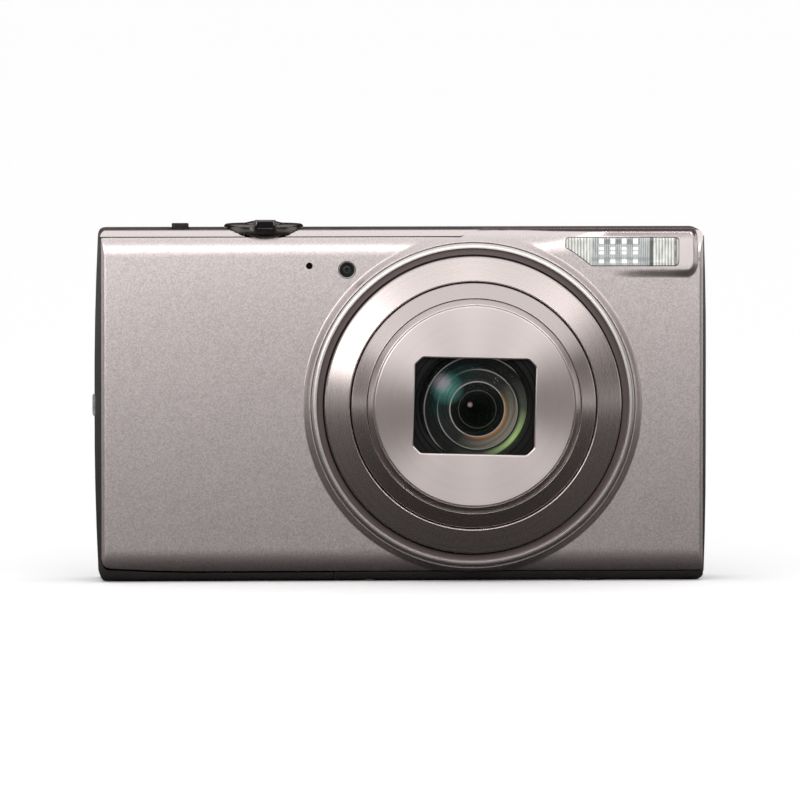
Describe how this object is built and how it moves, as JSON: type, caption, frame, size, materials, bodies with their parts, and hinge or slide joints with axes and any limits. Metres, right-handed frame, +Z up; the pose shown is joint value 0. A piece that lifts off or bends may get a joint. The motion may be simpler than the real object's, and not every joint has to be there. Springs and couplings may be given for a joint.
{
  "type": "compact digital camera",
  "caption": "Slim compact digital camera with a collapsing zoom lens, window barrier, flash, zoom lever, rear screen, keys and a battery door.",
  "frame": {"origin": "on the base plane, midway between the sides and midway between the lens front and the back keys", "axes": "+X towards the flash end seen from the front, -Y out of the lens, +Z up; row axes as the camera stands on its base"},
  "size_m": [0.0999, 0.0228, 0.0588],
  "materials": {
    "champagne": "fine metallic paint, satin",
    "graphite": "fine texture",
    "black_plastic": "smooth",
    "spun_metal": "spun in circles",
    "bright_metal": "polished",
    "steel": "stamped",
    "brass": "machined",
    "keys": "silver plated",
    "lens_glass": "coated",
    "clear_plastic": "ribbed",
    "screen": "gloss cover over a display",
    "circuit_board": "solder mask"
  },
  "bodies": {
    "camera_body": {"front_cover": "champagne", "rear_cover": "graphite", "top_cover": "champagne", "bottom_cover": "graphite", "side_band_left": "graphite", "side_band_right": "graphite", "lens_bezel": "bright_metal", "lens_ring_fixed": "spun_metal", "cam_barrel": "black_plastic", "lens_base": "black_plastic", "image_sensor": "circuit_board", "zoom_motor": "steel", "flash_window": "clear_plastic", "flash_reflector": "bright_metal", "flash_tube": "lens_glass", "flash_capacitor": "black_plastic", "lamp_lens": "clear_plastic", "microphone": "steel", "top_board": "circuit_board", "speaker": "black_plastic", "status_lamp": "clear_plastic", "screen_glass": "screen", "lcd_panel": "steel", "chassis": "steel", "control_board": "circuit_board", "main_board": "circuit_board", "battery_box": "graphite", "battery": "black_plastic", "card_slot": "steel", "memory_card": "black_plastic", "sockets": "steel", "tripod_socket": "brass", "strap_lug": "steel", "screws": "steel"},
    "barrel_1": {"barrel_1": "spun_metal", "iris_unit": "black_plastic", "second_glass": "lens_glass"},
    "barrel_2": {"barrel_2": "spun_metal", "front_plate": "spun_metal", "front_lens_holder": "black_plastic", "front_glass": "lens_glass"},
    "upper_inner_blade": {"barrier_upper_inner": "black_plastic"},
    "upper_outer_blade": {"barrier_upper_outer": "black_plastic"},
    "lower_inner_blade": {"barrier_lower_inner": "black_plastic"},
    "lower_outer_blade": {"barrier_lower_outer": "black_plastic"},
    "zoom_lever": {"zoom_lever": "bright_metal"},
    "shutter_button": {"shutter_button": "bright_metal"},
    "power_button": {"power_button": "bright_metal"},
    "mode_switch": {"mode_switch": "black_plastic"},
    "playback_button": {"playback_button": "keys"},
    "movie_button": {"movie_button": "keys"},
    "menu_button": {"menu_button": "keys"},
    "info_button": {"info_button": "keys"},
    "set_button": {"set_button": "keys"},
    "nav_pivot": {"nav_pivot": "black_plastic"},
    "nav_pad": {"nav_pad": "keys"},
    "door_slider": {"door_hinge_pin": "steel"},
    "battery_door": {"battery_door": "graphite"},
    "battery_latch": {"battery_latch": "bright_metal"},
    "terminal_cover": {"terminal_cover": "graphite"}
  },
  "joints": [
    {"name": "barrel_1_slide", "type": "slide", "parent": "camera_body", "child": "barrel_1", "axis": [0, -1, 0], "range_m": [0, 0.011]},
    {"name": "barrel_2_slide", "type": "slide", "parent": "barrel_1", "child": "barrel_2", "axis": [0, -1, 0], "range_m": [0, 0.011]},
    {"name": "upper_inner_slide", "type": "slide", "parent": "barrel_2", "child": "upper_inner_blade", "axis": [0, 0, -1], "range_m": [0, 0.0079]},
    {"name": "upper_outer_slide", "type": "slide", "parent": "barrel_2", "child": "upper_outer_blade", "axis": [0, 0, -1], "range_m": [0, 0.00392]},
    {"name": "lower_inner_slide", "type": "slide", "parent": "barrel_2", "child": "lower_inner_blade", "axis": [0, 0, 1], "range_m": [0, 0.0079]},
    {"name": "lower_outer_slide", "type": "slide", "parent": "barrel_2", "child": "lower_outer_blade", "axis": [0, 0, 1], "range_m": [0, 0.00392]},
    {"name": "zoom_lever_turn", "type": "hinge", "parent": "camera_body", "child": "zoom_lever", "pos_m": [-0.0223, 0.001, 0.0572], "axis": [0, 0, 1], "range_deg": [-18, 18], "stiffness_Nm_per_rad": 0.02},
    {"name": "shutter_press", "type": "slide", "parent": "camera_body", "child": "shutter_button", "axis": [0, 0, -1], "range_m": [0, 0.0008], "stiffness_N_per_m": 1200},
    {"name": "power_press", "type": "slide", "parent": "camera_body", "child": "power_button", "axis": [0, 0, -1], "range_m": [0, 0.0003], "stiffness_N_per_m": 1500},
    {"name": "mode_slide", "type": "slide", "parent": "camera_body", "child": "mode_switch", "axis": [1, 0, 0], "range_m": [-0.0016, 0.0016]},
    {"name": "playback_press", "type": "slide", "parent": "camera_body", "child": "playback_button", "axis": [0, -1, 0], "range_m": [0, 0.0003], "stiffness_N_per_m": 1500},
    {"name": "movie_press", "type": "slide", "parent": "camera_body", "child": "movie_button", "axis": [0, -1, 0], "range_m": [0, 0.0003], "stiffness_N_per_m": 1500},
    {"name": "menu_press", "type": "slide", "parent": "camera_body", "child": "menu_button", "axis": [0, -1, 0], "range_m": [0, 0.0003], "stiffness_N_per_m": 1500},
    {"name": "info_press", "type": "slide", "parent": "camera_body", "child": "info_button", "axis": [0, -1, 0], "range_m": [0, 0.0003], "stiffness_N_per_m": 1500},
    {"name": "set_press", "type": "slide", "parent": "camera_body", "child": "set_button", "axis": [0, -1, 0], "range_m": [0, 0.0003], "stiffness_N_per_m": 1500},
    {"name": "nav_tilt_up_down", "type": "hinge", "parent": "camera_body", "child": "nav_pivot", "pos_m": [-0.034, 0.009, 0.03], "axis": [1, 0, 0], "range_deg": [-2.5, 2.5], "stiffness_Nm_per_rad": 0.05},
    {"name": "nav_tilt_left_right", "type": "hinge", "parent": "nav_pivot", "child": "nav_pad", "pos_m": [-0.034, 0.009, 0.03], "axis": [0, 0, 1], "range_deg": [-2.5, 2.5], "stiffness_Nm_per_rad": 0.05},
    {"name": "door_slide", "type": "slide", "parent": "camera_body", "child": "door_slider", "axis": [-1, 0, 0], "range_m": [0, 0.002]},
    {"name": "door_swing", "type": "hinge", "parent": "door_slider", "child": "battery_door", "pos_m": [-0.03, 0.005, 0.00075], "axis": [1, 0, 0], "range_deg": [0, 78]},
    {"name": "battery_latch_slide", "type": "slide", "parent": "camera_body", "child": "battery_latch", "axis": [1, 0, 0], "range_m": [0, 0.001], "stiffness_N_per_m": 400},
    {"name": "terminal_cover_swing", "type": "hinge", "parent": "camera_body", "child": "terminal_cover", "pos_m": [0.04928, 0.0049, 0.0246], "axis": [0, 0, 1], "range_deg": [0, 95]}
  ],
  "couplings": [
    {"joint": "barrel_2_slide", "follows": "barrel_1_slide", "ratio": 1},
    {"joint": "upper_outer_slide", "follows": "upper_inner_slide", "ratio": 0.49684},
    {"joint": "lower_inner_slide", "follows": "upper_inner_slide", "ratio": 1},
    {"joint": "lower_outer_slide", "follows": "upper_inner_slide", "ratio": 0.49684}
  ]
}
